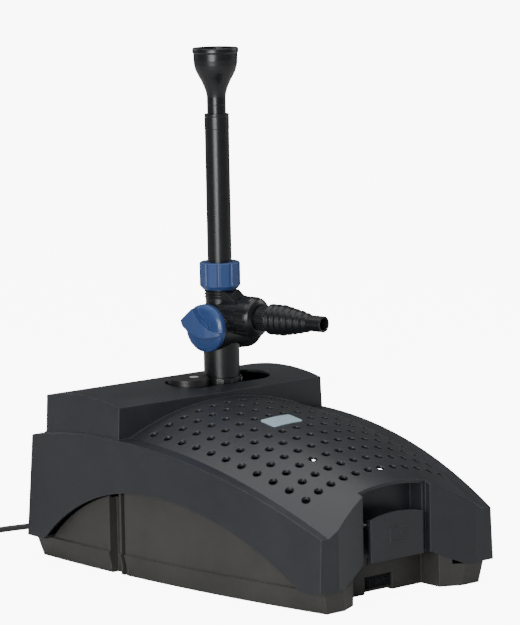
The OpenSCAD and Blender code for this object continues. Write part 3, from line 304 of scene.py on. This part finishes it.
def metal(name, colour, rough=0.3):
    t = Tree(name)
    streak = t.noise(300, 3, 0.6, stretch=(1, 1, 12))
    t.link(t.mix(streak, tuple(c * 0.8 for c in colour), colour), t.bsdf.inputs["Base Color"])
    t.link(t.span(streak, 0.3, 0.7, rough - 0.08, rough + 0.1), t.bsdf.inputs["Roughness"])
    t.link(t.bump(streak, 0.15, 0.0001), t.bsdf.inputs["Normal"])
    t.bsdf.inputs["Metallic"].default_value = 1
    return t.mat


def foam(name, colour):
    t = Tree(name)
    cells = t.node("ShaderNodeTexVoronoi")
    cells.inputs["Scale"].default_value = 320
    t.link(t.coord, cells.inputs["Vector"])
    d = cells.outputs["Distance"]
    # pits at the cell centres painted darker: painted shade in the foam's pores
    base = t.mix(t.span(d, 0.1, 0.7), tuple(c * 0.3 for c in colour), colour)
    t.link(base, t.bsdf.inputs["Base Color"])
    t.link(t.span(t.noise(40), 0.3, 0.7, 0.85, 0.98), t.bsdf.inputs["Roughness"])
    t.link(t.bump(d, 0.8, 0.002), t.bsdf.inputs["Normal"])
    return t.mat


def rubber(name, colour, rough=0.62):
    t = Tree(name)
    n = t.noise(60, 4)
    base = t.mix(t.span(n, 0.35, 0.65), tuple(c * 0.8 for c in colour),
                 tuple(c * 1.25 for c in colour))
    t.link(base, t.bsdf.inputs["Base Color"])
    t.link(t.span(n, 0.3, 0.7, rough - 0.06, rough + 0.08), t.bsdf.inputs["Roughness"])
    t.link(t.bump(t.noise(1400, 2), 0.15, 0.0001), t.bsdf.inputs["Normal"])
    return t.mat


def clear(name, colour, rough=0.08, alpha=0.35):
    t = Tree(name)
    n = t.noise(40, 3)
    t.link(t.mix(n, colour, tuple(c * 0.93 for c in colour)), t.bsdf.inputs["Base Color"])
    t.link(t.span(n, 0.3, 0.7, rough, rough + 0.06), t.bsdf.inputs["Roughness"])
    t.bsdf.inputs["Alpha"].default_value = alpha
    return t.mat


# moulded: colour, roughness, rounding of edges, spread of colour, edge wear and painted edge
# highlight, grain, dust
M = {
    "cover": moulded("cover_mat", (0.019, 0.0215, 0.0255), 0.38, 0.0016, 0.12, 0.6, 0.06, 0.04),
    "tray": moulded("tray_mat", (0.040, 0.039, 0.036), 0.45, 0.0012, 0.12, 0.5, 0.07, 0.04),
    "head": moulded("head_mat", (0.0135, 0.0135, 0.014), 0.34, 0.0009, 0.1, 0.5, 0.05, 0.03),
    "label": moulded("label_mat", (0.36, 0.48, 0.55), 0.35, 0.0004, 0.05, 0.0, 0.05, 0.0),
    "steel": metal("steel_mat", (0.62, 0.62, 0.64)),
    "core": metal("core_mat", (0.35, 0.35, 0.36), 0.45),
    "copper": metal("copper_mat", (0.7, 0.33, 0.14), 0.35),
    "coarse": foam("coarse_mat", (0.02, 0.024, 0.03)),
    "fine": foam("fine_mat", (0.014, 0.014, 0.016)),
    "motor": moulded("motor_mat", (0.022, 0.023, 0.025), 0.5, 0.0008, 0.12, 0.2, 0.2, 0.03),
    "seal": rubber("seal_mat", (0.012, 0.012, 0.013)),
    "cord": rubber("cord_mat", (0.026, 0.026, 0.029), 0.5),
    "tie": rubber("tie_mat", (0.04, 0.04, 0.042), 0.6),
    "ferrite": moulded("ferrite_mat", (0.05, 0.05, 0.055), 0.4, 0.0005),
    "white": moulded("white_mat", (0.75, 0.77, 0.77), 0.35, 0.0005, 0.03, 0.0, 0.05, 0.0),
    "window": moulded("window_mat", (0.72, 0.76, 0.76), 0.2, 0.0003, 0.03, 0.0, 0.02, 0.0),
    "quartz": clear("quartz_mat", (0.9, 0.95, 0.97)),
    "tee": moulded("tee_mat", (0.0085, 0.009, 0.0105), 0.28, 0.0008, 0.12, 0.6, 0.03, 0.015),
    "blue": moulded("blue_mat", (0.03, 0.068, 0.2), 0.3, 0.0010, 0.08, 0.6, 0.03, 0.015),
}
USE = {
    "filter_cover": "cover", "name_plate": "label", "latch_clip": "cover", "latch_pin": "steel",
    "filter_tray": "tray", "coarse_foam": "coarse", "fine_foam": "fine", "screen_plate": "motor",
    "motor_housing": "motor", "stator_core": "core", "stator_windings": "copper",
    "rear_bearing": "seal", "rotor_shaft": "white", "rotor_magnet": "ferrite",
    "rotor_bushes": "motor", "impeller": "white", "front_bearing": "seal",
    "pump_chamber": "motor", "chamber_seal": "seal", "chamber_screws": "steel",
    "outlet_pipe": "tee", "outlet_seal": "seal", "outlet_ring": "tee", "intake_elbow": "motor",
    "uvc_housing": "motor", "uvc_head": "head", "head_seal": "seal", "sight_window": "window",
    "quartz_sleeve": "quartz", "uvc_lamp": "white", "lamp_socket": "white", "inner_lead": "cord",
    "lamp_lead": "cord", "tee_body": "tee", "valve_plug": "tee", "plug_seals": "seal",
    "valve_knob": "blue", "knob_screw": "steel", "riser_nut": "blue", "riser_seal": "seal",
    "riser_tube": "tee", "tube_collar": "tee", "collar_seal": "seal", "inner_tube": "tee",
    "bell_nozzle": "tee", "nozzle_core": "tee", "side_nut": "tee", "side_gasket": "seal",
    "hose_adapter": "tee", "cord_gland": "cord", "mains_cord": "cord", "cord_coil": "cord",
    "coil_ties": "tie", "plug_body": "cord", "plug_pins": "steel",
}
for n, key in USE.items():
    ob = NODES[n]
    ob.data.materials.clear()
    ob.data.materials.append(M[key])
cord.data.materials.append(M["cord"])


# ---------------------------------------------------------------- stage

FLOOR_HALF = 40
FLOOR_GLOW = 9.0        # for camera rays only, so it lights nothing
WORLD_LIGHT = 0.12
mesh = bpy.data.meshes.new("floor")
mesh.from_pydata([(-FLOOR_HALF, -FLOOR_HALF, 0), (FLOOR_HALF, -FLOOR_HALF, 0),
                  (FLOOR_HALF, FLOOR_HALF, 0), (-FLOOR_HALF, FLOOR_HALF, 0)],
                 [], [(0, 1, 2, 3)])
floor = bpy.data.objects.new("floor", mesh)
scene.collection.objects.link(floor)
t = Tree("floor_mat")
floor_grey = t.ramp(t.noise(0.8, 2), [(0.0, (0.62, 0.62, 0.62)), (1.0, (0.66, 0.66, 0.66))])
t.link(floor_grey, t.bsdf.inputs["Base Color"])
t.bsdf.inputs["Roughness"].default_value = 0.9
t.bsdf.inputs["Emission Color"].default_value = (1, 1, 1, 1)
seen = t.node("ShaderNodeLightPath").outputs["Is Camera Ray"]
t.link(t.math("MULTIPLY", seen, FLOOR_GLOW), t.bsdf.inputs["Emission Strength"])
floor.data.materials.append(t.mat)

world = bpy.data.worlds.new("world")
scene.world = world
world.use_nodes = True
world.node_tree.nodes["Background"].inputs[0].default_value = (1, 1, 1, 1)
world.node_tree.nodes["Background"].inputs[1].default_value = WORLD_LIGHT


def area(name, where, size, power, target=(0, 0, 0.2)):
    data = bpy.data.lights.new(name, "AREA")
    data.shape = "RECTANGLE"
    data.size, data.size_y = size
    data.energy = power
    ob = bpy.data.objects.new(name, data)
    scene.collection.objects.link(ob)
    ob.location = where
    ob.rotation_euler = (Vector(target) - Vector(where)).to_track_quat("-Z", "Y").to_euler()


area("key", (-1.65, -0.85, 0.45), (0.9, 0.7), 18, (0, -0.05, 0.1))
area("strip", (-2.45, -1.95, 0.8), (0.7, 1.6), 29, (0, 0, 0.3))
area("top", (-0.1, 0, 2.4), (3.2, 3.2), 60)
area("right", (2.4, -0.7, 1.1), (1.4, 1.4), 14)
area("back", (-0.7, 2.4, 1.1), (1.6, 1.4), 9)
